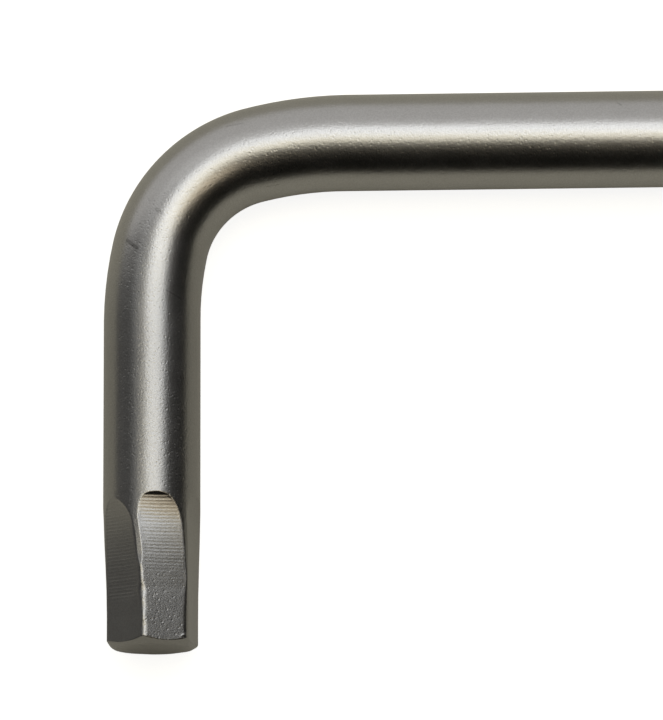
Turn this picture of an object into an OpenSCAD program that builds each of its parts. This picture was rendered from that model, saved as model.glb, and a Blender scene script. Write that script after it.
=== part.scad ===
// Hex key bent from round bar, with a milled hexagon on the short arm.
// The key lies flat: its bar rests on Z = 0, the long arm points along +X
// and the short arm along -Y. The origin is under the middle of its outline.

/* [Bar] */
// Diameter of the round bar
bar_d = 3.5; // [3.2:0.05:6]
// Overall length of the long arm, over the outside of the short arm
long_len = 63; // [40:1:120]
// Overall length of the short arm, over the outside of the long arm
short_len = 20.2; // [17:0.1:40]

/* [Bend] */
// Centre-line radius of the tight middle of the bend
bend_r = 4.6; // [3.5:0.1:8]
// Centre-line radius where the bend leaves the short arm
ease_in_r = 12.4; // [5:0.1:20]
// Angle turned by that first, easy stretch
ease_in_turn = 12; // [4:1:20]
// Centre-line radius where the bend runs out into the long arm
ease_out_r = 14; // [5:0.5:24]
// Angle turned by that last, easy stretch
ease_out_turn = 14; // [4:1:20]
// How much thinner the bar is across the middle of the bend
bend_thinning = 0.12; // [0:0.01:0.3]
// Number of steps in which the bend is swept
bend_steps = 24; // [12:1:36]
// Number of sides of the bend's swept section
bend_sides = 40; // [24:4:48]

/* [Milled hexagon] */
// Width across the flats
across_flats = 3.0; // [2.8:0.05:3.1]
// Diameter over the six broken corners of the hexagon
across_corners = 3.44; // [3.2:0.01:3.5]
// Length of the flats from the end face to the tip of their run-outs
flat_len = 5.44; // [4.5:0.01:7]
// Length of the straight, untwisted flats from the end face
straight_len = 2; // [1:0.1:3.2]
// Angle that each flat twists through on its way up its run-out
flat_twist = 12.4; // [0:0.1:25]
// Slope at which each flat rises from its straight length on, before its ramp
flat_taper = 0.022; // [0:0.002:0.03]
// Radius of the ramp that lifts each run-out to the bar's surface
ramp_r = 3.9; // [2:0.1:6]
// Turn of the hexagon about the short arm, from a flat that faces along +X
hexagon_turn = 9.8; // [0:0.1:59.9]
// Number of steps in which a twisted flat is built
flat_steps = 24; // [12:1:40]

/* [Ends] */
// Diameter of the flat face that the turned chamfer leaves on the hexagon
tip_face_d = 2.58; // [2:0.01:2.9]
// Slope of that chamfer against the end face
tip_chamfer_angle = 30; // [15:1:45]
// Width of the plain chamfer on the far end of the long arm
end_chamfer = 0.4; // [0.1:0.05:0.8]

/* [Hidden] */
$fn = 96;

bar_r = bar_d / 2;
flat_r = across_flats / 2;
corner_r = across_corners / 2;
tip_face_r = tip_face_d / 2;
steel = [0.62, 0.60, 0.55];

// How far a cutter reaches past the metal that it cuts
overcut = 0.5;

// How far the bend reaches into each arm, as a tapered plug, how wide the plug's
// end is against the bar, and how far the swept section stands inside the
// arms' surface where they meet
plug_len = 0.3;
plug_share = 0.7;
seam = 0.003;

// Where the bend's stretches start and end, as the angle turned so far
middle_start = ease_in_turn;
middle_end = 90 - ease_out_turn;

// The bend's extent: along the long arm it takes up bend_run of its length,
// and along the short arm it takes up bend_rise
bend_run = arc_run(ease_in_r, 0, middle_start)
    + arc_run(bend_r, middle_start, middle_end)
    + arc_run(ease_out_r, middle_end, 90);
bend_rise = arc_rise(ease_in_r, 0, middle_start)
    + arc_rise(bend_r, middle_start, middle_end)
    + arc_rise(ease_out_r, middle_end, 90);

// Lengths from the crossing of the two arms' axes to the ends of the arms
long_reach = long_len - bar_r;
short_reach = short_len - bar_r;

// Where the ramp of a run-out starts, so that it meets the bar at flat_len
ramp_rise = bar_r - flat_r - flat_taper * (flat_len - straight_len);
ramp_start = flat_len - sqrt(ramp_r * ramp_r - (ramp_r - ramp_rise) * (ramp_r - ramp_rise));

function arc_run(r, from, to) = r * (cos(from) - cos(to));
function arc_rise(r, from, to) = r * (sin(to) - sin(from));

// Height that the ramp adds to a flat, at the distance s from the end face
function ramp_height(s) =
    s <= ramp_start ? 0
    : ramp_r - sqrt(ramp_r * ramp_r - (s - ramp_start) * (s - ramp_start));

// Distance of a flat from the arm's axis, at the distance s from the end face
function flat_depth(s) =
    flat_r + flat_taper * max(0, s - straight_len) + ramp_height(s);

// Angle that a flat has twisted through, at the distance s from the end face
function twist_at(s) =
    s <= straight_len ? 0
    : flat_twist * (s - straight_len) / (flat_len - straight_len);

// Point on the bend's centre line where it has turned through the angle t:
// an easy stretch, the tight middle and an easy run-out, each tangent to the next
function bend_point(t) =
    t <= middle_start ? [arc_run(ease_in_r, 0, t), arc_rise(ease_in_r, 0, t) - bend_rise]
    : t <= middle_end
        ? bend_point(middle_start) + [arc_run(bend_r, middle_start, t), arc_rise(bend_r, middle_start, t)]
    : [bend_run - arc_run(ease_out_r, t, 90), -arc_rise(ease_out_r, t, 90)];

// Ring of points round the bar's section at a centre point of the bend, where
// it has turned through the angle t. The bar is thinner across the bend's middle.
function section(centre, t, share) =
    let (
        up = share * (bar_r - seam),
        across = up - bend_thinning / 2 * sin(2 * t)
    )
    [
        for (j = [0 : bend_sides - 1])
            let (
                angle = 360 * j / bend_sides,
                out = across * cos(angle)
            )
            [centre.x - out * cos(t), centre.y + out * sin(t), up * sin(angle)]
    ];

// Turns a point of a cutter's cross-section about the arm's axis, at height s
function turned(depth, side, angle, s) = [
    depth * cos(angle) - side * sin(angle),
    depth * sin(angle) + side * cos(angle),
    s
];

// One cutter that mills a flat: a bar of rectangular section that follows the
// flat up its run-out, twisting and rising as it goes. Its end face is at s = 0.
module flat_cutter(first_angle) {
    step = (flat_len - straight_len) / flat_steps;
    stations = concat([-overcut], [for (i = [0 : flat_steps + 1]) straight_len + i * step]);
    points = [
        for (s = stations)
            let (
                angle = first_angle - twist_at(s),
                inner = flat_depth(s),
                outer = bar_r + overcut
            )
            each [
                turned(inner, -bar_r, angle, s),
                turned(outer, -bar_r, angle, s),
                turned(outer, bar_r, angle, s),
                turned(inner, bar_r, angle, s)
            ]
    ];
    last = 4 * (len(stations) - 1);
    sides = [
        for (i = [0 : len(stations) - 2], j = [0 : 3])
            let (
                a = 4 * i + j,
                b = 4 * i + (j + 1) % 4,
                c = b + 4,
                d = a + 4
            )
            each [[a, d, c], [a, c, b]]
    ];
    caps = [[0, 1, 2], [0, 2, 3], [last + 2, last + 1, last], [last + 3, last + 2, last]];
    polyhedron(points = points, faces = concat(sides, caps));
}

// The short arm as turned, before its flats are cut: a chamfered end, a neck
// that breaks the hexagon's corners and widens where the flats start to rise,
// and the full bar above it
module short_arm_blank() {
    slope = tan(tip_chamfer_angle);
    neck_start = (corner_r - tip_face_r) * slope;
    rotate_extrude()
        polygon([
            [0, 0],
            [tip_face_r, 0],
            [corner_r, neck_start],
            [corner_r, straight_len],
            [bar_r, ramp_start],
            [bar_r, short_reach - bend_rise],
            [0, short_reach - bend_rise]
        ]);
}

// The short arm with its six flats, end face down, rising along Z
module short_arm() {
    difference() {
        short_arm_blank();
        for (k = [0 : 5])
            flat_cutter(-hexagon_turn - 60 * k);
    }
}

// The straight part of the long arm, lying along X from the end of the bend
module long_arm() {
    straight = long_reach - bend_run;
    rotate([0, 90, 0])
        rotate_extrude()
            polygon([
                [0, 0],
                [bar_r, 0],
                [bar_r, straight - end_chamfer],
                [bar_r - end_chamfer, straight],
                [0, straight]
            ]);
}

// The bend, swept from the short arm at the left to the long arm at the top
// right, with a plug at each end that reaches into the arm there
module bend() {
    turns = [for (i = [0 : bend_steps]) 90 * i / bend_steps];
    rings = concat(
        [section([0, -bend_rise - plug_len], 0, plug_share)],
        [for (t = turns) section(bend_point(t), t, 1)],
        [section([bend_run + plug_len, 0], 90, plug_share)]
    );
    last = bend_sides * (len(rings) - 1);
    skin = [
        for (i = [0 : len(rings) - 2], j = [0 : bend_sides - 1])
            let (
                a = bend_sides * i + j,
                b = bend_sides * i + (j + 1) % bend_sides,
                c = b + bend_sides,
                d = a + bend_sides
            )
            each [[a, d, c], [a, c, b]]
    ];
    start_cap = [for (j = [1 : bend_sides - 2]) [0, j, j + 1]];
    end_cap = [for (j = [1 : bend_sides - 2]) [last + j + 1, last + j, last]];
    polyhedron(
        points = [for (ring = rings) each ring],
        faces = concat(start_cap, skin, end_cap)
    );
}

// The whole key, one piece of bent bar
module hex_key() {
    color(steel)
        translate([bar_r - long_len / 2, short_len / 2 - bar_r, bar_r])
            union() {
                translate([0, -short_reach, 0])
                    rotate([-90, 0, 0])
                        short_arm();
                bend();
                translate([bend_run, 0, 0])
                    long_arm();
            }
}

hex_key();
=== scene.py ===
"""Dresses the hex key: one bent steel bar with a milled hexagon, on a white surface.

Sizes in the classes are in millimetres unless their name says otherwise, and the
meshes are in metres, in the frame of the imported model.
"""

import logging
import math
from dataclasses import dataclass
from enum import Enum

import bmesh
import bpy
import numpy as np
from mathutils import Matrix, Vector

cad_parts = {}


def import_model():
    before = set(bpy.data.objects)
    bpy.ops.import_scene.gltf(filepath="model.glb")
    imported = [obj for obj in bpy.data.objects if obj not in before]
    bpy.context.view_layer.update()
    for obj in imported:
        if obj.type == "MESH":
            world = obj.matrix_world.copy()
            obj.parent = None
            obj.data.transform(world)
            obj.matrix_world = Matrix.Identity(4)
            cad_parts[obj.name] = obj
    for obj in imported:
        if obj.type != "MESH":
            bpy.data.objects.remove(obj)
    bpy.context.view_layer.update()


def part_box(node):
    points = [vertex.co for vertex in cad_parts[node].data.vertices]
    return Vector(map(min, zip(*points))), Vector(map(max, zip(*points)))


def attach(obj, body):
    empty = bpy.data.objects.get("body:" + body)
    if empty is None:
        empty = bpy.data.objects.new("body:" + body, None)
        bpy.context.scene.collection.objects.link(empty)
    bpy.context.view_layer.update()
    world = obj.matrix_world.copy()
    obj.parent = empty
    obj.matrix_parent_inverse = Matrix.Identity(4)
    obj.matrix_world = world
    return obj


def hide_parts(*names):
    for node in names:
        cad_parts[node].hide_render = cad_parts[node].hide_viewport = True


LOG = logging.getLogger("hex_key")
MM = 0.001
NODE = "hex_key"

# Degrees from one flat of a hexagon to the next, and from a flat's middle to its corner
FLAT_TURN = 60.0
CORNER_TURN = FLAT_TURN / 2

# Span in which nearly all values of the noise texture lie
NOISE_SPAN = (0.3, 0.7)

# What a node's input takes: a socket to link, or a plain number, vector or colour
Feed = bpy.types.NodeSocket | float | tuple[float, ...]


class Ray(Enum):
    """Kinds of ray that a surface can be asked about, by their Light Path socket."""

    CAMERA = "Is Camera Ray"
    GLOSSY = "Is Glossy Ray"
    TRANSMISSION = "Is Transmission Ray"


@dataclass(frozen=True)
class BarSizes:
    """Where the bar lies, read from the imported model's box, in millimetres."""

    radius: float
    short_x: float
    long_y: float
    tip_y: float
    far_x: float

    @classmethod
    def from_frame(cls) -> "BarSizes":
        """Reads the bar's diameter and its two arms from the box of the CAD node.

        Returns:
            The sizes of the bar, in millimetres.
        """
        low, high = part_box(NODE)
        radius = (high.z - low.z) / 2 / MM
        return cls(
            radius=radius,
            short_x=low.x / MM + radius,
            long_y=high.y / MM - radius,
            tip_y=low.y / MM,
            far_x=high.x / MM,
        )


@dataclass(frozen=True)
class BendStretch:
    """One tangent arc of the bend."""

    radius: float
    turn: float
    steps: int


@dataclass(frozen=True)
class PulledStretch:
    """One straight stretch of the bar: its length and its number of rings."""

    length: float
    rings: int


def soft_min(first: np.ndarray, second: np.ndarray, softness: float | np.ndarray) -> np.ndarray:
    """The smaller of two radii, with a small rounded change from one to the other.

    Args:
        first: one radius.
        second: the other radius.
        softness: how far apart the two may be and still be blended.

    Returns:
        The blended smaller radius.
    """
    share = np.clip(0.5 + 0.5 * (second - first) / softness, 0.0, 1.0)
    return second + (first - second) * share - softness * share * (1.0 - share)


def smooth_step(low: float, high: float, value: np.ndarray) -> np.ndarray:
    """Rises smoothly from 0 at low to 1 at high."""
    share = np.clip((value - low) / (high - low), 0.0, 1.0)
    return share * share * (3.0 - 2.0 * share)


@dataclass(frozen=True)
class MilledHexagon:
    """The six milled flats of the tip and the turned chamfer on its end.

    Flats and corners are counted from the flat that faces along +X, turning towards
    +Z. A corner has the number of the flat before it.
    """

    # The flats, which taper and twist, then climb a ramp that ends in a small lip
    across_flats: float = 3.0
    flat_len: float = 5.44
    straight_len: float = 2.0
    turn: float = 8.7
    twist: float = 12.2
    twist_power: float = 3.2
    twist_limit: float = 1.05
    taper: float = 0.022
    ramp_radius: float = 3.9
    ramp_limit: float = 0.9
    lip_len: float = 0.17
    lip_height: float = 0.036
    lip_limit: float = 2.0

    # How far past the flats the bar starts to turn back to its own axis
    ease_past: float = 0.2

    # How much farther out each flat lies, at three distances from the end face
    uneven_at: tuple[float, ...] = (1.0, 4.3, 5.3)
    uneven: tuple[tuple[float, ...], ...] = (
        (0.0, 0.015, 0.0),
        (0.0, -0.01, 0.0),
        (-0.05, 0.04, 0.10),
        (0.0, 0.0, 0.0),
        (0.0, 0.0, 0.0),
        (0.0, 0.0, 0.0),
    )

    # The hexagon and the end face, which lie a little off the arm's axis
    off_centre_x: float = 0.03
    face_radius: float = 1.42
    face_x: float = 0.03
    face_z: float = -0.14

    # The turned chamfer, and the direction in which its rim is worn
    chamfer_angle: float = 30.0
    chamfer_softness: float = 0.02
    worn_rim_angle: float = 4.0
    worn_rim_width: float = 30.0
    worn_rim_softness: float = 0.2

    # The corners' rounding, and how softly two flats blend for a rounding of 1
    corner_round: float = 0.07
    softness_per_round: float = 0.64
    run_out_softness: float = 0.012

    # The corner at the side, which is rounder near the end face
    side_corner: int = 0
    side_round: float = 0.22
    side_round_from: float = 0.9
    side_round_to: float = 2.8

    # The worn corner: its rounding changes by waves, each given by how often it
    # comes, where it starts and its share
    worn_corner: int = 1
    worn_round: float = 0.20
    worn_round_change: float = 0.10
    worn_waves: tuple[tuple[float, float, float], ...] = ((4.1, 0.6, 0.6), (9.7, 1.9, 0.4))

    # The narrow land left on the worn corner: half its angle, where it begins, how
    # much of the rounding it takes away, and the least of it that counts, in radians
    worn_land: float = 3.4
    worn_land_start: float = 2.5
    worn_land_full: float = 3.3
    worn_land_loss: float = 0.6
    least_land: float = 0.001

    # The cutter's feed marks: how far apart, how deep, and how each one wavers. The
    # bow and the waver are shares of the pitch, followed by their rates.
    mark_pitch: float = 0.122
    mark_seed: int = 7
    spare_marks: int = 4
    mark_strength: tuple[float, float] = (0.6, 1.2)
    mark_bow: tuple[float, float] = (0.05, 0.13)
    mark_waver: tuple[float, float, float] = (0.025, 0.61, 2.0)
    mark_power: int = 3
    mark_edge: float = 0.12
    tip_mark_depth: float = 0.0003
    flat_mark_depth: float = 0.0034
    run_out_mark_depth: float = 0.0066
    run_out_marks_from: tuple[float, float] = (4.2, 4.9)

    # Each flat's share of those marks, where they start and how slowly they come in
    mark_share: tuple[float, ...] = (0.1, 1.0, 1.8, 0.5, 0.5, 0.5)
    mark_start: tuple[float, ...] = (1.0, 1.9, 1.5, 1.2, 0.9, 1.6)
    mark_fade: tuple[float, ...] = (0.8, 1.6, 0.3, 0.8, 1.2, 0.6)

    # Depth below the bar at which metal counts as milled, and the flat with pits
    milled_depth: float = 0.02
    pitted_flat: int = 1
    pitted_to: tuple[float, float] = (1.9, 3.1)

    # The small slanting burr
    burr_angle: float = 43.5
    burr_along: float = 0.31
    burr_height: float = 0.016
    burr_tilt: float = 42.0
    burr_half_len: float = 0.11
    burr_half_width: float = 0.024

    # How the mesh's columns are shared out: the narrowest half flat, and the even
    # half angle that is stretched to each flat's own
    narrowest_share: float = 5.0
    flat_share: float = 20.0

    def depth_at(self, along: np.ndarray, bar_radius: float) -> np.ndarray:
        """Distance of the flats from the arm's axis.

        Args:
            along: distances from the end face.
            bar_radius: radius of the round bar.

        Returns:
            The distance at each place, which climbs a circular ramp and a short lip.
        """
        flat = self.across_flats / 2
        rise = bar_radius - flat - self.taper * (self.flat_len - self.straight_len) - self.lip_height
        start = self.flat_len - math.sqrt(self.ramp_radius**2 - (self.ramp_radius - rise) ** 2)
        climb = np.clip(along - start, 0.0, self.ramp_limit * self.ramp_radius)
        ramp = self.ramp_radius - np.sqrt(self.ramp_radius**2 - climb**2)
        on_lip = np.clip(1.0 + (along - self.flat_len) / self.lip_len, 0.0, self.lip_limit)
        lip = self.lip_height * on_lip**2
        return flat + self.taper * np.maximum(along - self.straight_len, 0.0) + ramp + lip

    def twist_at(self, along: np.ndarray) -> np.ndarray:
        """Angle that the flats have twisted through at each distance from the end face."""
        share = np.clip(along / self.flat_len, 0.0, self.twist_limit)
        return self.twist * share**self.twist_power

    def edge_at(self, across: np.ndarray, radius: float) -> np.ndarray:
        """Distance from the hexagon's centre to a circle round the bar's own axis.

        Args:
            across: direction from the hexagon's centre, in radians from +X.
            radius: radius of the circle.

        Returns:
            The distance at which that direction meets the circle.
        """
        ahead = self.off_centre_x * np.cos(across)
        return np.sqrt(radius**2 - self.off_centre_x**2 + ahead**2) - ahead

    def chamfer_at(self, across: np.ndarray, along: np.ndarray) -> np.ndarray:
        """Distance from the centre to the turned chamfer, which is a little off centre.

        Args:
            across: direction from the hexagon's centre, in radians from +X.
            along: distance from the end face.

        Returns:
            The distance at which that direction meets the chamfer's cone.
        """
        slope = math.tan(math.radians(90.0 - self.chamfer_angle))
        cone = self.face_radius + np.maximum(along, 0.0) * slope
        ahead = self.face_x * np.cos(across) + self.face_z * np.sin(across)
        return np.sqrt(cone**2 - self.face_x**2 - self.face_z**2 + ahead**2) + ahead

    def round_at(self, along: np.ndarray, corner: np.ndarray) -> np.ndarray:
        """Radius of the corners, which is larger and uneven on the worn one.

        Args:
            along: distance from the end face.
            corner: number of the nearest corner.

        Returns:
            The rounding at each place.
        """
        wave = sum(share * np.sin(rate * along + start) for rate, start, share in self.worn_waves)
        worn = self.worn_round + self.worn_round_change * wave
        loss = self.worn_land_loss * smooth_step(self.worn_land_start, self.worn_land_full, along)
        worn = worn * (1.0 - loss)
        side = self.side_round * (1.0 - smooth_step(self.side_round_from, self.side_round_to, along))
        plain = self.corner_round + np.where(corner == self.side_corner, side, 0.0)
        return np.where(corner == self.worn_corner, worn, plain)

    def land_at(self, along: np.ndarray, corner: np.ndarray) -> np.ndarray:
        """Half the angle of the narrow land that is left on the worn corner."""
        land = self.worn_land * smooth_step(self.worn_land_start, self.worn_land_full, along)
        return np.where(corner == self.worn_corner, land, 0.0)

    def flat_depth(self, along: np.ndarray, flat: np.ndarray, bar_radius: float) -> np.ndarray:
        """Distance of each numbered flat from the hexagon's axis, which differs a little.

        Args:
            along: distance from the end face.
            flat: number of the flat.
            bar_radius: radius of the round bar.

        Returns:
            The distance at each place.
        """
        depth = self.depth_at(along, bar_radius)
        for number, changes in enumerate(self.uneven):
            change = np.interp(along, self.uneven_at, changes)
            depth = np.where(np.mod(flat, 6) == number, depth + change, depth)
        return depth

    def rim_softness_at(self, turned: np.ndarray) -> np.ndarray:
        """Softness of the chamfer's edge, which is worn round on one side of the arm.

        Args:
            turned: direction from the arm's axis, in degrees from +X.

        Returns:
            The softness in each direction.
        """
        away = np.mod(turned - self.worn_rim_angle + 180.0, 360.0) - 180.0
        worn = np.exp(-((away / self.worn_rim_width) ** 2))
        return self.chamfer_softness + self.worn_rim_softness * worn

    def burr_at(self, along: np.ndarray, turned: np.ndarray, bar_radius: float) -> np.ndarray:
        """Height of the small slanting burr beside the side corner.

        Args:
            along: distance from the end face.
            turned: direction from the arm's axis, in degrees from +X.
            bar_radius: radius of the round bar.

        Returns:
            The height that the burr adds at each place.
        """
        tilt = math.radians(self.burr_tilt)
        side = np.radians(turned - self.burr_angle) * bar_radius
        up = along - self.burr_along
        lengthwise = (up * math.sin(tilt) - side * math.cos(tilt)) / self.burr_half_len
        across = (up * math.cos(tilt) + side * math.sin(tilt)) / self.burr_half_width
        return self.burr_height * np.exp(-(lengthwise**2) - across**2)

    def pitted_at(self, along: np.ndarray, flat: np.ndarray) -> np.ndarray:
        """Where the low end of one flat is pitted, from 0 to 1."""
        low, high = self.pitted_to
        return np.where(np.mod(flat, 6) == self.pitted_flat, 1.0 - smooth_step(low, high, along), 0.0)

    def half_width_at(self, spot: "Spots", edge: np.ndarray) -> np.ndarray:
        """Half the angle that a flat covers round the arm, in degrees.

        Args:
            spot: the points on the tip.
            edge: distance from the hexagon's centre to the bar's surface there.

        Returns:
            The angle from the middle of a flat to its edge on that corner's side.
        """
        depth = self.flat_depth(spot.along, spot.flat, spot.bar_radius)
        to_bar = np.degrees(np.arccos(np.clip(depth / edge, -1.0, 1.0)))
        to_corner = math.tan(math.radians(CORNER_TURN))
        side = (depth - self.round_at(spot.along, spot.corner)) * to_corner
        to_round = np.degrees(np.arctan(side / depth))
        land = self.land_at(spot.along, spot.corner)
        return np.minimum(np.minimum(to_bar, to_round), CORNER_TURN - land)

    def outline(self, spot: "Spots", off_flat: np.ndarray) -> np.ndarray:
        """Radius of the hexagon with its worn corners, before it meets bar and chamfer.

        Args:
            spot: the points on the tip.
            off_flat: angle from the middle of the nearest flat, in degrees.

        Returns:
            The radius of the hexagon's outline at each place.
        """
        beside = spot.flat + np.where(spot.corner == np.mod(spot.flat, 6), 1, -1)
        depth = self.flat_depth(spot.along, spot.flat, spot.bar_radius)
        other = self.flat_depth(spot.along, beside, spot.bar_radius)
        angle = np.radians(np.abs(off_flat))
        to_corner = math.radians(CORNER_TURN)
        near = depth / np.cos(angle)
        far = other / np.cos(math.radians(FLAT_TURN) - angle)
        rounding = self.round_at(spot.along, spot.corner)
        sides = soft_min(near, far, self.softness_per_round * rounding)
        land = np.radians(self.land_at(spot.along, spot.corner))
        middle = (depth + other) / 2 / np.cos(to_corner - land) * np.cos(land)
        cap = middle / np.cos(to_corner - angle)
        capped = soft_min(sides, cap, self.run_out_softness / 2)
        return np.where(land > self.least_land, capped, sides)


@dataclass(frozen=True)
class Spots:
    """Points on the tip: how far along the arm, and at which flat and corner."""

    along: np.ndarray
    flat: np.ndarray
    corner: np.ndarray
    bar_radius: float


@dataclass
class BentBar:
    """The key's bar: pulled, bent and milled from one disc of metal."""

    sizes: BarSizes
    hexagon: MilledHexagon
    finish: "SatinNickel"
    columns: int = 216
    bend: tuple[BendStretch, ...] = (
        BendStretch(radius=12.4, turn=12.0, steps=5),
        BendStretch(radius=4.6, turn=64.0, steps=30),
        BendStretch(radius=14.0, turn=14.0, steps=7),
    )
    tip: tuple[PulledStretch, ...] = (
        PulledStretch(length=0.36, rings=30),
        PulledStretch(length=1.12, rings=54),
        PulledStretch(length=1.12, rings=54),
        PulledStretch(length=1.54, rings=76),
        PulledStretch(length=1.54, rings=76),
    )
    short_rings: int = 18
    long_rings: int = 40
    thinning: float = 0.12
    end_chamfer: float = 0.4
    end_insets: tuple[float, ...] = (0.15, 0.45)
    smooth_angle: float = 30.0

    # Margins for telling points by their place. The bend's also holds for degrees.
    arm_margin: float = 0.001
    ring_margin: float = 0.002
    bend_margin: float = 0.01
    tip_margin: float = 0.02

    def __post_init__(self) -> None:
        """Works out where the stretches of the tip and of the bend start and end."""
        self.tip_len = sum(stretch.length for stretch in self.tip)
        turns = [0.0]
        for stretch in self.bend:
            turns.append(turns[-1] + stretch.turn)
        self.turns = turns
        self.run = sum(self._arc(stretch, turns[i])[0] for i, stretch in enumerate(self.bend))
        self.rise = sum(self._arc(stretch, turns[i])[1] for i, stretch in enumerate(self.bend))

    @staticmethod
    def _arc(stretch: BendStretch, start: float) -> tuple[float, float]:
        """How far one arc reaches along the long arm and along the short arm.

        Args:
            stretch: the arc.
            start: angle that the bend has turned through where the arc starts.

        Returns:
            Its reach along the long arm and its reach along the short arm.
        """
        first, last = math.radians(start), math.radians(start + stretch.turn)
        run = stretch.radius * (math.cos(first) - math.cos(last))
        rise = stretch.radius * (math.sin(last) - math.sin(first))
        return run, rise

    def build(self) -> bpy.types.Object:
        """Models the whole bar.

        Returns:
            The finished bar, with its object at the origin.
        """
        bar = self._add_disc()
        bpy.ops.object.mode_set(mode="EDIT")
        bpy.ops.mesh.select_mode(type="FACE")
        bpy.ops.mesh.select_all(action="SELECT")
        self._pull_short_arm()
        self._spin_bend()
        self._pull_long_arm()
        self._cut_rings(bar)
        bpy.ops.object.mode_set(mode="OBJECT")
        self._thin_bend(bar)
        self._mill_tip(bar)
        self._close(bar)
        return bar

    def dress(self, bar: bpy.types.Object, effects: "Effects") -> None:
        """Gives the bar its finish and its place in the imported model.

        Args:
            bar: the finished bar.
            effects: the shared node groups.
        """
        bar.data.materials.append(self.finish.build(effects))
        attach(bar, "root")
        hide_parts(NODE)

    def _add_disc(self) -> bpy.types.Object:
        """Adds the disc that the bar is pulled from, at the tip's end face.

        Returns:
            The disc's object.
        """
        size = self.sizes
        bpy.ops.mesh.primitive_circle_add(
            vertices=self.columns,
            radius=size.radius * MM,
            fill_type="NGON",
            location=(size.short_x * MM, size.tip_y * MM, size.radius * MM),
            rotation=(math.pi / 2, -math.radians(self.hexagon.turn), 0.0),
        )
        bar = bpy.context.object
        bar.name = "hex_key_bar"
        bpy.ops.object.transform_apply(location=True, rotation=True, scale=True)
        return bar

    @staticmethod
    def _pull(x: float, y: float) -> None:
        """Extrudes the selected end of the bar by a length in millimetres."""
        bpy.ops.mesh.extrude_region_move(
            TRANSFORM_OT_translate={"value": (x * MM, y * MM, 0.0)}
        )

    def _pull_short_arm(self) -> None:
        """Pulls the tip's stretches and then the plain part of the short arm."""
        for stretch in self.tip:
            self._pull(0.0, stretch.length)
        self._pull(0.0, self._plain_short())

    def _plain_short(self) -> float:
        """Length of the short arm between the milled tip and the bend."""
        return self.sizes.long_y - self.sizes.tip_y - self.rise - self.tip_len

    def _centres(self) -> list[Vector]:
        """Works out the centres of the bend's arcs.

        Returns:
            One centre for each arc, in millimetres.
        """
        x, y = self.sizes.short_x, self.sizes.long_y - self.rise
        centres = []
        for i, stretch in enumerate(self.bend):
            start = math.radians(self.turns[i])
            aside = stretch.radius * math.cos(start)
            down = stretch.radius * math.sin(start)
            centres.append(Vector((x + aside, y - down, 0.0)))
            run, rise = self._arc(stretch, self.turns[i])
            x, y = x + run, y + rise
        return centres

    def _spin_bend(self) -> None:
        """Spins the end of the short arm through the three arcs of the bend."""
        for stretch, centre in zip(self.bend, self._centres()):
            bpy.ops.mesh.spin(
                steps=stretch.steps,
                angle=math.radians(stretch.turn),
                center=(centre.x * MM, centre.y * MM, self.sizes.radius * MM),
                axis=(0.0, 0.0, 1.0),
            )

    def _pull_long_arm(self) -> None:
        """Pulls the long arm and the chamfer on its far end."""
        size = self.sizes
        self._pull(size.far_x - self.end_chamfer - size.short_x - self.run, 0.0)
        self._pull(self.end_chamfer, 0.0)
        share = (size.radius - self.end_chamfer) / size.radius
        bpy.ops.transform.resize(
            value=(1.0, share, share),
            center_override=(size.far_x * MM, size.long_y * MM, size.radius * MM),
        )

    def _cut_rings(self, bar: bpy.types.Object) -> None:
        """Cuts each straight stretch into rings, close together where it is milled.

        Args:
            bar: the bar, in edit mode.
        """
        bpy.ops.mesh.select_mode(type="EDGE")
        size = self.sizes
        start = size.tip_y
        for stretch in self.tip:
            self._cut(bar, 1, start, start + stretch.length, stretch.rings)
            start += stretch.length
        self._cut(bar, 1, start, start + self._plain_short(), self.short_rings)
        first = size.short_x + self.run
        self._cut(bar, 0, first, size.far_x - self.end_chamfer, self.long_rings)

    def _cut(self, bar: bpy.types.Object, axis: int, start: float, end: float, rings: int) -> None:
        """Subdivides the edges that run between two ends of a straight stretch.

        Args:
            bar: the bar, in edit mode.
            axis: 0 for a stretch along X, 1 for one along Y.
            start: place of the stretch's first ring, in millimetres.
            end: place of its last ring, in millimetres.
            rings: how many rings the stretch is cut into.
        """
        bpy.ops.mesh.select_all(action="DESELECT")
        mesh = bmesh.from_edit_mesh(bar.data)
        near = self.ring_margin * MM
        for edge in mesh.edges:
            first, last = sorted(vert.co[axis] for vert in edge.verts)
            edge.select = abs(first - start * MM) < near and abs(last - end * MM) < near
        bmesh.update_edit_mesh(bar.data)
        bpy.ops.mesh.subdivide(number_cuts=rings - 1)

    def _thin_bend(self, bar: bpy.types.Object) -> None:
        """Draws the bar's sides together a little where the bend is tight.

        Args:
            bar: the bar, in object mode.
        """
        size, margin = self.sizes, self.bend_margin
        points = self._points(bar)
        done = np.zeros(len(points), dtype=bool)
        for i, (stretch, centre) in enumerate(zip(self.bend, self._centres())):
            out_x, out_y = points[:, 0] - centre.x, points[:, 1] - centre.y
            reach = np.hypot(out_x, out_y)
            turned = np.degrees(np.arctan2(out_y, -out_x))
            in_bend = (turned > self.turns[i] - margin) & (turned < self.turns[i + 1] + margin)
            in_bend &= (np.abs(reach - stretch.radius) < size.radius + margin) & ~done
            share = self.thinning / 2 * np.sin(np.radians(2 * turned)) / size.radius
            moved = stretch.radius + (reach - stretch.radius) * (1.0 - share)
            points[in_bend, 0] = (centre.x + out_x * moved / reach)[in_bend]
            points[in_bend, 1] = (centre.y + out_y * moved / reach)[in_bend]
            done |= in_bend
        self._place(bar, points)

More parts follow.
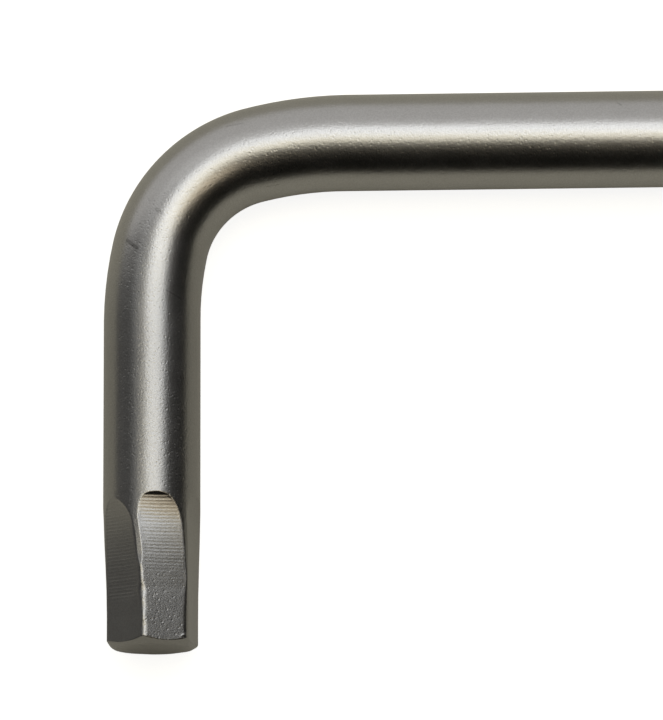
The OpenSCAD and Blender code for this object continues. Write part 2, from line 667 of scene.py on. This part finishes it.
    def _mill_tip(self, bar: bpy.types.Object) -> None:
        """Moves the short arm's rings in to the milled flats and the turned chamfer.

        Args:
            bar: the bar, in object mode.
        """
        size, cut, margin = self.sizes, self.hexagon, self.arm_margin
        points = self._points(bar)
        along = points[:, 1] - size.tip_y
        straight_end = self.tip_len + self._plain_short()
        on_arm = (along < straight_end + margin) & (points[:, 0] < size.short_x + size.radius + margin)
        along = along[on_arm]
        side, up = points[on_arm, 0] - size.short_x, points[on_arm, 2] - size.radius
        angle = np.degrees(np.arctan2(up, side)) - cut.turn
        flat = np.round(angle / FLAT_TURN).astype(int)
        column = angle - FLAT_TURN * flat
        corner = np.mod(np.floor(angle / FLAT_TURN).astype(int), 6)
        spot = Spots(along, flat, corner, size.radius)
        on_tip = along < self.tip_len - self.tip_margin

        kept_turn = 1.0 - smooth_step(cut.flat_len + cut.ease_past, straight_end, along)
        middle = cut.turn + FLAT_TURN * flat + cut.twist_at(along) * kept_turn
        half = cut.half_width_at(spot, cut.edge_at(np.radians(middle), size.radius))
        reach = cut.edge_at(np.radians(middle + np.sign(column) * half), size.radius)
        half = np.maximum(cut.half_width_at(spot, reach), cut.narrowest_share)
        half = half + (cut.flat_share - half) * smooth_step(cut.flat_len, self.tip_len, along)
        off_flat = self._spread(column, half, cut.flat_share)
        turned = middle + off_flat
        across = np.radians(turned)

        edge = cut.edge_at(across, size.radius)
        body = soft_min(cut.outline(spot, off_flat), edge, cut.run_out_softness)
        body = np.where(on_tip, body, edge)
        milled = smooth_step(0.0, cut.milled_depth, edge - body - cut.run_out_softness / 4)
        body = body - self._feed_marks(spot, off_flat, half) * milled
        cone = cut.chamfer_at(across, along)
        radius = soft_min(body, cone, cut.rim_softness_at(turned))
        radius = radius + cut.burr_at(along, turned, size.radius)

        aside = cut.off_centre_x * kept_turn
        radius = np.where(on_tip, radius, self._on_bar(aside, across, size.radius))
        points[on_arm, 0] = size.short_x + aside + radius * np.cos(across)
        points[on_arm, 2] = size.radius + radius * np.sin(across)
        self._place(bar, points)
        for name, share in (("milled", milled), ("pitted", milled * cut.pitted_at(along, flat))):
            mask = np.zeros(len(points))
            mask[on_arm] = np.where(along < self.tip_len, share, 0.0)
            self._keep(bar, name, mask)

    @staticmethod
    def _on_bar(aside: np.ndarray, across: np.ndarray, radius: float) -> np.ndarray:
        """Distance to the bar's surface from a centre that lies aside of its axis."""
        ahead = aside * np.cos(across)
        return np.sqrt(radius**2 - aside**2 + ahead**2) - ahead

    @staticmethod
    def _spread(column: np.ndarray, half: np.ndarray, share: float) -> np.ndarray:
        """Turns evenly spaced columns so that their middle ones cover a flat.

        Args:
            column: each column's even angle from the middle of its flat, -30 to 30.
            half: half the angle that the flat covers there.
            share: the even angle that is stretched or squeezed to that half angle.

        Returns:
            The new angle of each column from the middle of its flat.
        """
        size = np.abs(column)
        inner = size * half / share
        outer = half + (size - share) * (CORNER_TURN - half) / (CORNER_TURN - share)
        return np.sign(column) * np.where(size <= share, inner, outer)

    def _feed_marks(self, spot: Spots, off_flat: np.ndarray, half: np.ndarray) -> np.ndarray:
        """Depth of the cutter's feed marks, which run straight across each flat.

        Args:
            spot: the points on the tip.
            off_flat: angle from the middle of the nearest flat, in degrees.
            half: half the angle that the flat covers there.

        Returns:
            How far each point lies below the ridges between the marks.
        """
        cut, along = self.hexagon, spot.along
        draw = np.random.default_rng(cut.mark_seed)
        count = int(cut.flat_len / cut.mark_pitch) + cut.spare_marks
        strength = draw.uniform(*cut.mark_strength, size=(6, count))
        strength = strength * np.array(cut.mark_share)[:, None]
        start = draw.uniform(0.0, 1.0, size=6)
        number = np.mod(spot.flat, 6)
        place = along / cut.mark_pitch + start[number]
        bow, bow_rate = cut.mark_bow
        waver, waver_rate, waver_change = cut.mark_waver
        bent = bow * np.sin(off_flat * bow_rate + number)
        place = place + (bent + waver * np.sin(off_flat * waver_rate + waver_change * place))
        step = np.clip(np.floor(place).astype(int), 0, count - 1)
        ridge = np.abs(2.0 * np.mod(place, 1.0) - 1.0) ** cut.mark_power
        first = np.array(cut.mark_start)[number]
        fade_in = smooth_step(0.0, 1.0, (along - first) / np.array(cut.mark_fade)[number])
        climb = smooth_step(*cut.run_out_marks_from, along)
        depth = cut.tip_mark_depth + (cut.flat_mark_depth - cut.tip_mark_depth) * fade_in
        depth = depth + (cut.run_out_mark_depth - cut.flat_mark_depth) * climb
        edge = smooth_step(0.0, cut.mark_edge, 1.0 - np.abs(off_flat) / half)
        return depth * strength[number, step] * (1.0 - ridge) * edge

    @staticmethod
    def _points(bar: bpy.types.Object) -> np.ndarray:
        """Reads the bar's vertices.

        Args:
            bar: the bar, in object mode.

        Returns:
            One row of three numbers per vertex, in millimetres.
        """
        flat = np.empty(len(bar.data.vertices) * 3)
        bar.data.vertices.foreach_get("co", flat)
        return flat.reshape(-1, 3) / MM

    @staticmethod
    def _place(bar: bpy.types.Object, points: np.ndarray) -> None:
        """Puts the bar's vertices at points given in millimetres."""
        bar.data.vertices.foreach_set("co", (points * MM).ravel())
        bar.data.update()

    @staticmethod
    def _keep(bar: bpy.types.Object, name: str, values: np.ndarray) -> None:
        """Stores one number per vertex, for the finish to read."""
        layer = bar.data.attributes.new(name, "FLOAT", "POINT")
        layer.data.foreach_set("value", values.astype(np.float32))

    def _close(self, bar: bpy.types.Object) -> None:
        """Turns the faces outwards, insets the two end faces and shades the bar.

        Args:
            bar: the bar, in object mode.
        """
        bpy.ops.object.mode_set(mode="EDIT")
        bpy.ops.mesh.select_mode(type="FACE")
        bpy.ops.mesh.select_all(action="SELECT")
        bpy.ops.mesh.normals_make_consistent(inside=False)
        bpy.ops.mesh.select_all(action="DESELECT")
        mesh = bmesh.from_edit_mesh(bar.data)
        for face in mesh.faces:
            face.select = len(face.verts) > 4
        bmesh.update_edit_mesh(bar.data)
        for inset in self.end_insets:
            bpy.ops.mesh.inset(thickness=inset * MM)
        bpy.ops.object.mode_set(mode="OBJECT")
        bpy.ops.object.shade_smooth_by_angle(angle=math.radians(self.smooth_angle))


class Nodes:
    """A small hand for laying out the nodes of one tree."""

    def __init__(self, tree: bpy.types.NodeTree) -> None:
        """Starts on a tree, whose nodes are cleared."""
        self.tree = tree
        tree.nodes.clear()

    def add(self, kind: str, **settings: object) -> bpy.types.Node:
        """Adds a node.

        Args:
            kind: the node's type name.
            **settings: its properties and their values.

        Returns:
            The new node.
        """
        node = self.tree.nodes.new(kind)
        for name, value in settings.items():
            setattr(node, name, value)
        return node

    def join(self, source: bpy.types.NodeSocket, target: bpy.types.NodeSocket) -> None:
        """Links one socket to another."""
        self.tree.links.new(source, target)

    def feed(self, target: bpy.types.NodeSocket, value: Feed) -> None:
        """Links a socket to a target, or sets the target to a plain value.

        Args:
            target: the input to feed.
            value: a socket, or the value that the input is set to.
        """
        if isinstance(value, bpy.types.NodeSocket):
            self.join(value, target)
        else:
            target.default_value = value

    def math(self, operation: str, first: Feed, second: Feed = 0.0) -> bpy.types.NodeSocket:
        """Adds a Math node.

        Args:
            operation: what it does.
            first: its first value.
            second: its second value.

        Returns:
            Its result.
        """
        node = self.add("ShaderNodeMath", operation=operation)
        self.feed(node.inputs[0], first)
        self.feed(node.inputs[1], second)
        return node.outputs[0]

    def vector(self, operation: str, first: Feed, second: Feed) -> bpy.types.Node:
        """Adds a Vector Math node.

        Args:
            operation: what it does.
            first: its first vector.
            second: its second vector.

        Returns:
            The node, whose result is a vector or a value.
        """
        node = self.add("ShaderNodeVectorMath", operation=operation)
        self.feed(node.inputs[0], first)
        self.feed(node.inputs[1], second)
        return node

    def span(
        self, value: Feed, low: float, high: float, to_low: float, to_high: float
    ) -> bpy.types.NodeSocket:
        """Maps a value smoothly from one span to another.

        Args:
            value: the value to map.
            low: start of its span.
            high: end of its span.
            to_low: result at the start.
            to_high: result at the end.

        Returns:
            The mapped value.
        """
        node = self.add("ShaderNodeMapRange", interpolation_type="SMOOTHSTEP")
        self.feed(node.inputs["Value"], value)
        node.inputs["From Min"].default_value = low
        node.inputs["From Max"].default_value = high
        node.inputs["To Min"].default_value = to_low
        node.inputs["To Max"].default_value = to_high
        return node.outputs["Result"]

    def blend(self, share: Feed, first: Feed, second: Feed, how: str = "MIX") -> bpy.types.NodeSocket:
        """Mixes two colours.

        Args:
            share: how much of the second colour there is.
            first: the first colour.
            second: the second colour.
            how: the kind of mix.

        Returns:
            The mixed colour.
        """
        node = self.add("ShaderNodeMix", data_type="RGBA", blend_type=how)
        colours = [socket for socket in node.inputs if socket.type == "RGBA"]
        mixed = next(socket for socket in node.outputs if socket.type == "RGBA")
        self.feed(node.inputs["Factor"], share)
        self.feed(colours[0], first)
        self.feed(colours[1], second)
        return mixed

    def noise(self, scale: Feed, detail: float, roughness: float) -> bpy.types.NodeSocket:
        """Adds noise on Object coordinates and returns its value.

        Args:
            scale: how many features there are to the metre.
            detail: how many finer layers it has.
            roughness: how strong the finer layers are.

        Returns:
            The noise, from 0 to 1.
        """
        place = self.add("ShaderNodeTexCoord")
        node = self.add("ShaderNodeTexNoise", noise_dimensions="3D")
        self.join(place.outputs["Object"], node.inputs["Vector"])
        self.feed(node.inputs["Scale"], scale)
        node.inputs["Detail"].default_value = detail
        node.inputs["Roughness"].default_value = roughness
        return node.outputs["Fac"]


@dataclass
class Effects:
    """Node groups that the finishes share, each built once."""

    # The grain: a fine noise, a coarser one and dimples, whose scales are shares of
    # the number of grains to the metre
    grain_detail: float = 1.0
    fine_roughness: float = 0.6
    fine_share: float = 0.6
    coarse_scale: float = 0.36
    coarse_roughness: float = 0.5
    coarse_share: float = 0.4
    dimple_scale: float = 0.4
    dimple_reach: tuple[float, float] = (0.05, 0.36)

    # The soft patches, and the share of a scratch's width that has its full strength
    patch_detail: float = 3.0
    patch_roughness: float = 0.55
    scratch_core: float = 0.3

    # First values of the groups' inputs, which the finish sets to its own
    first_grain: float = 0.06
    first_patch: float = 0.8
    first_length: float = 1.0
    first_width: float = 0.06

    def __post_init__(self) -> None:
        """Builds the groups."""
        self.grain = self._blasted_grain()
        self.mottle = self._mottle()
        self.scratch = self._scratch()

    @staticmethod
    def _group(
        name: str, inputs: dict[str, tuple[str, Feed]], outputs: tuple[str, ...]
    ) -> tuple[bpy.types.NodeTree, Nodes, bpy.types.Node, bpy.types.Node]:
        """Starts a group with named sockets.

        Args:
            name: the group's name.
            inputs: each input's name, with its socket type and first value.
            outputs: names of its outputs, all plain numbers.

        Returns:
            The group, its layout, its input node and its output node.
        """
        group = bpy.data.node_groups.new(name, "ShaderNodeTree")
        for socket_name, (kind, value) in inputs.items():
            socket = group.interface.new_socket(name=socket_name, in_out="INPUT", socket_type=kind)
            socket.default_value = value
        for socket_name in outputs:
            group.interface.new_socket(name=socket_name, in_out="OUTPUT", socket_type="NodeSocketFloat")
        nodes = Nodes(group)
        return group, nodes, nodes.add("NodeGroupInput"), nodes.add("NodeGroupOutput")

    def _blasted_grain(self) -> bpy.types.NodeTree:
        """Builds the fine grain and the dimples of a blasted and plated surface.

        Returns:
            A group that puts out the grain, its height and its dimples.
        """
        group, nodes, given, out = self._group(
            "blasted_grain",
            {"Grain Size": ("NodeSocketFloat", self.first_grain * MM)},
            ("Grain", "Height", "Dimples"),
        )
        per_metre = nodes.math("DIVIDE", 1.0, given.outputs["Grain Size"])
        fine = nodes.noise(per_metre, self.grain_detail, self.fine_roughness)
        coarse_scale = nodes.math("MULTIPLY", per_metre, self.coarse_scale)
        coarse = nodes.noise(coarse_scale, self.grain_detail, self.coarse_roughness)
        nodes.join(nodes.span(fine, *NOISE_SPAN, 0.0, 1.0), out.inputs["Grain"])

        fine_height = nodes.math("MULTIPLY", fine, self.fine_share)
        coarse_height = nodes.math("MULTIPLY", coarse, self.coarse_share)
        nodes.join(nodes.math("ADD", fine_height, coarse_height), out.inputs["Height"])

        place = nodes.add("ShaderNodeTexCoord")
        cells = nodes.add("ShaderNodeTexVoronoi", voronoi_dimensions="3D", feature="F1")
        nodes.join(place.outputs["Object"], cells.inputs["Vector"])
        nodes.join(nodes.math("MULTIPLY", per_metre, self.dimple_scale), cells.inputs["Scale"])
        dimples = nodes.span(cells.outputs["Distance"], *self.dimple_reach, 1.0, 0.0)
        nodes.join(dimples, out.inputs["Dimples"])
        return group

    def _mottle(self) -> bpy.types.NodeTree:
        """Builds soft patches where the surface is a little brighter or duller.

        Returns:
            A group that puts out the patches.
        """
        group, nodes, given, out = self._group(
            "soft_mottle", {"Patch Size": ("NodeSocketFloat", self.first_patch * MM)}, ("Patches",)
        )
        per_metre = nodes.math("DIVIDE", 1.0, given.outputs["Patch Size"])
        patches = nodes.noise(per_metre, self.patch_detail, self.patch_roughness)
        nodes.join(patches, out.inputs["Patches"])
        return group

    def _scratch(self) -> bpy.types.NodeTree:
        """Builds one short scratch, from one point to another, that fades at its ends.

        Returns:
            A group that puts out the scratch's mask.
        """
        vector = "NodeSocketVector"
        group, nodes, given, out = self._group(
            "short_scratch",
            {
                "Start": (vector, (0.0, 0.0, 0.0)),
                "End": (vector, (self.first_length * MM, 0.0, 0.0)),
                "Width": ("NodeSocketFloat", self.first_width * MM),
            },
            ("Mask",),
        )
        place = nodes.add("ShaderNodeTexCoord").outputs["Object"]
        from_start = nodes.vector("SUBTRACT", place, given.outputs["Start"]).outputs[0]
        whole = nodes.vector("SUBTRACT", given.outputs["End"], given.outputs["Start"]).outputs[0]
        reach = nodes.vector("DOT_PRODUCT", from_start, whole).outputs["Value"]
        square = nodes.vector("DOT_PRODUCT", whole, whole).outputs["Value"]
        held = nodes.add("ShaderNodeClamp")
        nodes.join(nodes.math("DIVIDE", reach, square), held.inputs["Value"])
        nearest = nodes.add("ShaderNodeVectorMath", operation="SCALE")
        nodes.join(whole, nearest.inputs[0])
        nodes.join(held.outputs[0], nearest.inputs["Scale"])
        away = nodes.vector("DISTANCE", from_start, nearest.outputs[0]).outputs["Value"]
        widths = nodes.math("DIVIDE", away, given.outputs["Width"])
        nodes.join(nodes.span(widths, self.scratch_core, 1.0, 1.0, 0.0), out.inputs["Mask"])
        return group


@dataclass(frozen=True)
class Scratch:
    """A mark on the bar: its ends in millimetres, its width and how dark it is."""

    start: tuple[float, float, float]
    end: tuple[float, float, float]
    width: float
    darkness: float


@dataclass(frozen=True)
class SatinNickel:
    """Blasted steel under satin nickel, a warm grey with a fine speckle."""

    name: str

    # The lightest and the darkest nickel, the share that the grain has in which of
    # them shows, and the roughness
    light: tuple[float, float, float] = (0.575, 0.565, 0.55)
    dark: tuple[float, float, float] = (0.465, 0.455, 0.44)
    tone_share: float = 0.55
    roughness: float = 0.29
    roughness_spread: float = 0.01

    # Size of the grains and of the patches, and depth of the bump
    grain_mm: float = 0.06
    patch_mm: float = 0.9
    bump_mm: float = 0.006

    # Shares of the bump: the grain, the dimples of the blasted bar, the pits on the
    # pitted flat, and how much of the grain is left where the bar is milled
    grain_share: float = 1.1
    dimple_share: float = 0.5
    pit_share: float = 0.48
    milled_share: float = 0.6

    # How much painted shade darkens the short arm's colour, which dims its highlight, and from where to
    # where along Y that fades
    short_arm_shade_share: float = 0.72
    short_arm_shade_from_mm: float = 0.0
    short_arm_shade_to_mm: float = 7.0

    # The scratches, and the colour that shows in them
    mark_colour: tuple[float, float, float] = (0.05, 0.045, 0.04)
    scratches: tuple[Scratch, ...] = (
        Scratch((-30.57, 4.58, 3.11), (-30.18, 4.22, 3.37), width=0.10, darkness=0.45),
        Scratch((-29.13, 2.67, 3.40), (-28.61, 2.39, 3.09), width=0.05, darkness=0.25),
        Scratch((-29.50, 5.63, 3.45), (-29.24, 5.44, 3.50), width=0.09, darkness=0.25),
        Scratch((-26.95, 8.72, 3.18), (-26.37, 8.81, 3.24), width=0.05, darkness=0.20),
        Scratch((-25.53, 6.55, 2.70), (-25.10, 6.63, 2.67), width=0.05, darkness=0.25),
        Scratch((-12.83, 9.39, 3.16), (-12.72, 9.30, 3.22), width=0.05, darkness=0.25),
    )

    def build(self, effects: Effects) -> bpy.types.Material:
        """Builds the material.

        Args:
            effects: the shared node groups.

        Returns:
            The finished material.
        """
        material = bpy.data.materials.new(self.name)
        material.use_nodes = True
        nodes = Nodes(material.node_tree)
        out = nodes.add("ShaderNodeOutputMaterial")
        metal = nodes.add("ShaderNodeBsdfPrincipled")
        metal.inputs["Metallic"].default_value = 1.0
        nodes.join(metal.outputs["BSDF"], out.inputs["Surface"])

        grain = nodes.add("ShaderNodeGroup", node_tree=effects.grain)
        grain.inputs["Grain Size"].default_value = self.grain_mm * MM
        patches = nodes.add("ShaderNodeGroup", node_tree=effects.mottle)
        patches.inputs["Patch Size"].default_value = self.patch_mm * MM

        plated = self._plated_colour_and_shade(nodes, grain, patches)
        nodes.join(self._scratched(nodes, effects, plated), metal.inputs["Base Color"])

        low = self.roughness - self.roughness_spread
        high = self.roughness + self.roughness_spread
        rough = nodes.span(patches.outputs["Patches"], *NOISE_SPAN, low, high)
        nodes.join(rough, metal.inputs["Roughness"])

        bump = nodes.add("ShaderNodeBump")
        bump.inputs["Distance"].default_value = self.bump_mm * MM
        nodes.join(self._height(nodes, grain), bump.inputs["Height"])
        nodes.join(bump.outputs["Normal"], metal.inputs["Normal"])
        return material

    def _plated_colour_and_shade(
        self, nodes: Nodes, grain: bpy.types.Node, patches: bpy.types.Node
    ) -> bpy.types.NodeSocket:
        """Colour of the nickel, darkened along the short arm by painted shade that dims its highlight.

        Args:
            nodes: layout of the material.
            grain: the grain's group node.
            patches: the mottle's group node.

        Returns:
            The colour.
        """
        grainy = nodes.math("MULTIPLY", grain.outputs["Grain"], self.tone_share)
        patchy = nodes.math("MULTIPLY", patches.outputs["Patches"], 1.0 - self.tone_share)
        tone = nodes.math("ADD", grainy, patchy)
        colour = nodes.blend(tone, (*self.dark, 1.0), (*self.light, 1.0))
        axes = nodes.add("ShaderNodeSeparateXYZ")
        nodes.join(nodes.add("ShaderNodeTexCoord").outputs["Object"], axes.inputs[0])
        # painted shade: the short arm's colour is darkened, which dims its highlight
        low_y, high_y = self.short_arm_shade_from_mm * MM, self.short_arm_shade_to_mm * MM
        short_arm_shade = nodes.span(axes.outputs["Y"], low_y, high_y, self.short_arm_shade_share, 1.0)
        short_arm_shade_colour = nodes.add("ShaderNodeCombineColor")
        for socket in short_arm_shade_colour.inputs:
            nodes.join(short_arm_shade, socket)
        return nodes.blend(1.0, colour, short_arm_shade_colour.outputs[0], "MULTIPLY")

    def _scratched(
        self, nodes: Nodes, effects: Effects, colour: bpy.types.NodeSocket
    ) -> bpy.types.NodeSocket:
        """Darkens a colour along the scratches.

        Args:
            nodes: layout of the material.
            effects: the shared node groups.
            colour: the colour between the scratches.

        Returns:
            The colour with its scratches.
        """
        for scratch in self.scratches:
            mark = nodes.add("ShaderNodeGroup", node_tree=effects.scratch)
            mark.inputs["Start"].default_value = tuple(value * MM for value in scratch.start)
            mark.inputs["End"].default_value = tuple(value * MM for value in scratch.end)
            mark.inputs["Width"].default_value = scratch.width * MM
            share = nodes.math("MULTIPLY", mark.outputs["Mask"], scratch.darkness)
            colour = nodes.blend(share, colour, (*self.mark_colour, 1.0))
        return colour

    def _height(self, nodes: Nodes, grain: bpy.types.Node) -> bpy.types.NodeSocket:
        """Height of the blasted surface, which is finer where it was milled.

        Args:
            nodes: layout of the material.
            grain: the grain's group node.

        Returns:
            The height, as a share of the finish's bump.
        """
        milled = nodes.add("ShaderNodeAttribute", attribute_name="milled").outputs["Fac"]
        pitted = nodes.add("ShaderNodeAttribute", attribute_name="pitted").outputs["Fac"]
        grains = nodes.math("MULTIPLY", grain.outputs["Height"], self.grain_share)
        finer = nodes.span(milled, 0.0, 1.0, 1.0, self.milled_share)
        grains = nodes.math("MULTIPLY", grains, finer)
        depth = nodes.span(milled, 0.0, 1.0, self.dimple_share, 0.0)
        depth = nodes.math("ADD", depth, nodes.math("MULTIPLY", pitted, self.pit_share))
        dimples = nodes.math("MULTIPLY", grain.outputs["Dimples"], depth)
        return nodes.math("SUBTRACT", grains, dimples)


@dataclass(frozen=True)
class Lamp:
    """A soft lamp, placed by its angles above and to the right of the camera's axis."""

    name: str
    above: float
    right: float
    width: float
    height: float
    power: float
    colour: tuple[float, float, float]
    distance: float = 450.0


@dataclass(frozen=True)
class Camera:
    """The camera, as the photograph was taken, in millimetres and degrees."""

    target: tuple[float, float, float] = (-23.261, 0.345, 1.75)
    distance: float = 250.0
    tilt: float = 10.54
    yaw: float = 2.81
    roll: float = -0.13
    focal_px: float = 6927.5
    long_side_px: float = 720.0
    sensor: float = 36.0
    nearest: float = 10.0

    def axes(self) -> tuple[Vector, Vector, Vector]:
        """Works out the directions of the camera's own axes.

        Returns:
            The camera's right, up and backward directions.
        """
        tilt, yaw, roll = map(math.radians, (self.tilt, self.yaw, self.roll))
        level = math.cos(tilt)
        back = Vector((math.sin(yaw) * level, -math.sin(tilt), math.cos(yaw) * level))
        up = Vector((0.0, 1.0, 0.0))
        up = (up - back * up.dot(back)).normalized()
        right = up.cross(back)
        turned_right = right * math.cos(roll) + up * math.sin(roll)
        turned_up = up * math.cos(roll) - right * math.sin(roll)
        return turned_right, turned_up, back

    def build(self) -> None:
        """Adds the camera and makes it the scene's own."""
        right, up, back = self.axes()
        data = bpy.data.cameras.new("camera")
        data.sensor_width = self.sensor
        data.sensor_fit = "AUTO"
        data.lens = self.focal_px / self.long_side_px * self.sensor
        data.clip_start = self.nearest * MM
        camera = bpy.data.objects.new("camera", data)
        bpy.context.scene.collection.objects.link(camera)
        camera.rotation_euler = Matrix((right, up, back)).transposed().to_euler()
        camera.location = (Vector(self.target) + back * self.distance) * MM
        bpy.context.scene.camera = camera


@dataclass(frozen=True)
class Studio:
    """White floor and backdrop, soft lamps and the camera."""

    camera: Camera

    # Lamps: angle above, angle to the right, width, height, power and colour
    lamps: tuple[Lamp, ...] = (
        Lamp("high_lamp", 27.3, 7.5, 390.0, 205.0, 0.375, (0.94, 0.97, 1.0)),
        Lamp("low_lamp", 10.0, -3.8, 520.0, 120.0, 0.25, (1.0, 0.94, 0.76)),
        Lamp("warm_lamp", -5.0, 16.8, 123.0, 184.0, 0.07, (1.0, 0.84, 0.60)),
        Lamp("left_lamp", 32.0, -28.0, 300.0, 390.0, 0.07, (0.96, 0.98, 1.0)),
    )

    # The floor: its own colour, the white that the camera sees near the key and from
    # where to where that rises to 1, and the share of it that the metal reflects
    floor_half: float = 1500.0
    floor_colour: tuple[float, float, float] = (0.60, 0.58, 0.49)
    floor_white: float = 0.88
    floor_white_to: tuple[float, float] = (50.0, 250.0)
    floor_glossy: float = 0.06

    # Painted contact shadow: a dark line painted into the floor's white glow where the key touches the
    # floor
    painted_contact_shadow_reach: float = 0.5
    painted_contact_shadow_open: float = 0.6
    painted_contact_shadow_samples: int = 16

    # The room's light by direction: from behind, where it rises and falls again
    # along Y, and a little from the left, along X
    back_light: float = 0.57
    back_from: tuple[float, float] = (0.32, 0.43)
    back_fall: tuple[float, float, float] = (0.55, 1.0, 1.05)
    left_light: float = 0.10
    left_from: tuple[float, float] = (-0.95, -0.6)
    room_colour: tuple[float, float, float] = (1.0, 0.99, 0.98)

    def build(self) -> None:
        """Adds everything round the key."""
        self.camera.build()
        self._floor()
        for lamp in self.lamps:
            self._lamp(lamp)
        self._world()
        bpy.context.scene.view_settings.view_transform = "Standard"

    def _lamp(self, lamp: Lamp) -> None:
        """Adds one soft lamp that faces the key.

        Args:
            lamp: its place, size, power and colour.
        """
        right, up, back = self.camera.axes()
        above, aside = math.radians(lamp.above), math.radians(lamp.right)
        toward = (back * math.cos(above) + up * math.sin(above)).normalized()
        toward = (toward * math.cos(aside) + right * math.sin(aside)).normalized()
        data = bpy.data.lights.new(lamp.name, "AREA")
        data.shape = "ELLIPSE"
        data.size, data.size_y = lamp.width * MM, lamp.height * MM
        data.energy = lamp.power
        data.color = lamp.colour
        light = bpy.data.objects.new(lamp.name, data)
        light.location = (Vector(self.camera.target) + toward * lamp.distance) * MM
        across = up.cross(toward).normalized()
        light.rotation_euler = Matrix((across, toward.cross(across), toward)).transposed().to_euler()
        light.visible_camera = False
        bpy.context.scene.collection.objects.link(light)

    @staticmethod
    def _seen(nodes: Nodes, shares: dict[Ray, float]) -> bpy.types.NodeSocket:
        """Share of the white background that a ray is shown, by the kind of ray.

        Args:
            nodes: layout of the material or the world.
            shares: the share that each kind of ray is shown.

        Returns:
            The share, from 0 to 1.
        """
        path = nodes.add("ShaderNodeLightPath")
        total: Feed = 0.0
        for ray, share in shares.items():
            shown = nodes.math("MULTIPLY", path.outputs[ray.value], share)
            total = nodes.math("ADD", total, shown)
        return nodes.math("MINIMUM", total, 1.0)

    def _floor(self) -> None:
        """Adds the pale floor, which keeps the key's shadow, is white to the camera and has a painted
        contact shadow where the key touches it.
        """
        bpy.ops.mesh.primitive_plane_add(size=2 * self.floor_half * MM, location=(0.0, 0.0, 0.0))
        floor = bpy.context.object
        floor.name = "floor"
        material = bpy.data.materials.new("white_floor")
        material.use_nodes = True
        nodes = Nodes(material.node_tree)
        out = nodes.add("ShaderNodeOutputMaterial")
        pale = nodes.add("ShaderNodeBsdfDiffuse")
        pale.inputs["Color"].default_value = (*self.floor_colour, 1.0)
        glow = nodes.add("ShaderNodeEmission")
        place = nodes.add("ShaderNodeTexCoord").outputs["Object"]
        away = nodes.vector("LENGTH", place, (0.0, 0.0, 0.0)).outputs["Value"]
        near, far = (length * MM for length in self.floor_white_to)
        white = nodes.span(away, near, far, self.floor_white, 1.0)
        shares = {Ray.CAMERA: 1.0, Ray.TRANSMISSION: 1.0, Ray.GLOSSY: self.floor_glossy}
        seen = self._seen(nodes, shares)
        # painted contact shadow: ambient occlusion darkens the floor's white glow near the key
        contact_shadow_ao = nodes.add("ShaderNodeAmbientOcclusion", samples=self.painted_contact_shadow_samples)
        contact_shadow_ao.inputs["Distance"].default_value = self.painted_contact_shadow_reach * MM
        painted_contact_shadow = nodes.span(contact_shadow_ao.outputs["AO"], 0.0, self.painted_contact_shadow_open, 0.0, 1.0)
        white = nodes.math("MULTIPLY", white, painted_contact_shadow)
        nodes.join(nodes.math("MULTIPLY", white, seen), glow.inputs["Strength"])
        both = nodes.add("ShaderNodeAddShader")
        nodes.join(pale.outputs[0], both.inputs[0])
        nodes.join(glow.outputs[0], both.inputs[1])
        nodes.join(both.outputs[0], out.inputs["Surface"])
        floor.data.materials.append(material)

    def _world(self) -> None:
        """Lights the room softly from behind the key, and shows white to the camera."""
        world = bpy.data.worlds.new("room")
        world.use_nodes = True
        bpy.context.scene.world = world
        nodes = Nodes(world.node_tree)
        out = nodes.add("ShaderNodeOutputWorld")
        room = nodes.add("ShaderNodeBackground")
        white = nodes.add("ShaderNodeBackground")
        white.inputs["Color"].default_value = (1.0, 1.0, 1.0, 1.0)
        way = nodes.add("ShaderNodeTexCoord").outputs["Generated"]
        axes = nodes.add("ShaderNodeSeparateXYZ")
        nodes.join(way, axes.inputs[0])
        behind = nodes.span(axes.outputs["Y"], *self.back_from, 0.0, self.back_light)
        fall_from, fall_to, fall_share = self.back_fall
        falling = nodes.span(axes.outputs["Y"], fall_from, fall_to, 1.0, fall_share)
        behind = nodes.math("MULTIPLY", behind, falling)
        left = nodes.span(axes.outputs["X"], *self.left_from, self.left_light, 0.0)
        strength = nodes.math("ADD", behind, left)
        room.inputs["Color"].default_value = (*self.room_colour, 1.0)
        nodes.join(strength, room.inputs["Strength"])
        seen = self._seen(nodes, {Ray.CAMERA: 1.0, Ray.TRANSMISSION: 1.0})
        mix = nodes.add("ShaderNodeMixShader")
        nodes.join(seen, mix.inputs[0])
        nodes.join(room.outputs[0], mix.inputs[1])
        nodes.join(white.outputs[0], mix.inputs[2])
        nodes.join(mix.outputs[0], out.inputs["Surface"])


def main() -> None:
    """Builds the key's visual model and the studio round it."""
    logging.basicConfig(level=logging.INFO, format="%(name)s: %(message)s")
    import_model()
    bpy.ops.object.select_all(action="DESELECT")

    bent_bar = BentBar(BarSizes.from_frame(), MilledHexagon(), SatinNickel("satin_nickel"))
    bar = bent_bar.build()
    bent_bar.dress(bar, Effects())
    LOG.info("%s: %d faces", bar.name, len(bar.data.polygons))

    Studio(Camera()).build()


if __name__ == "__main__":
    main()
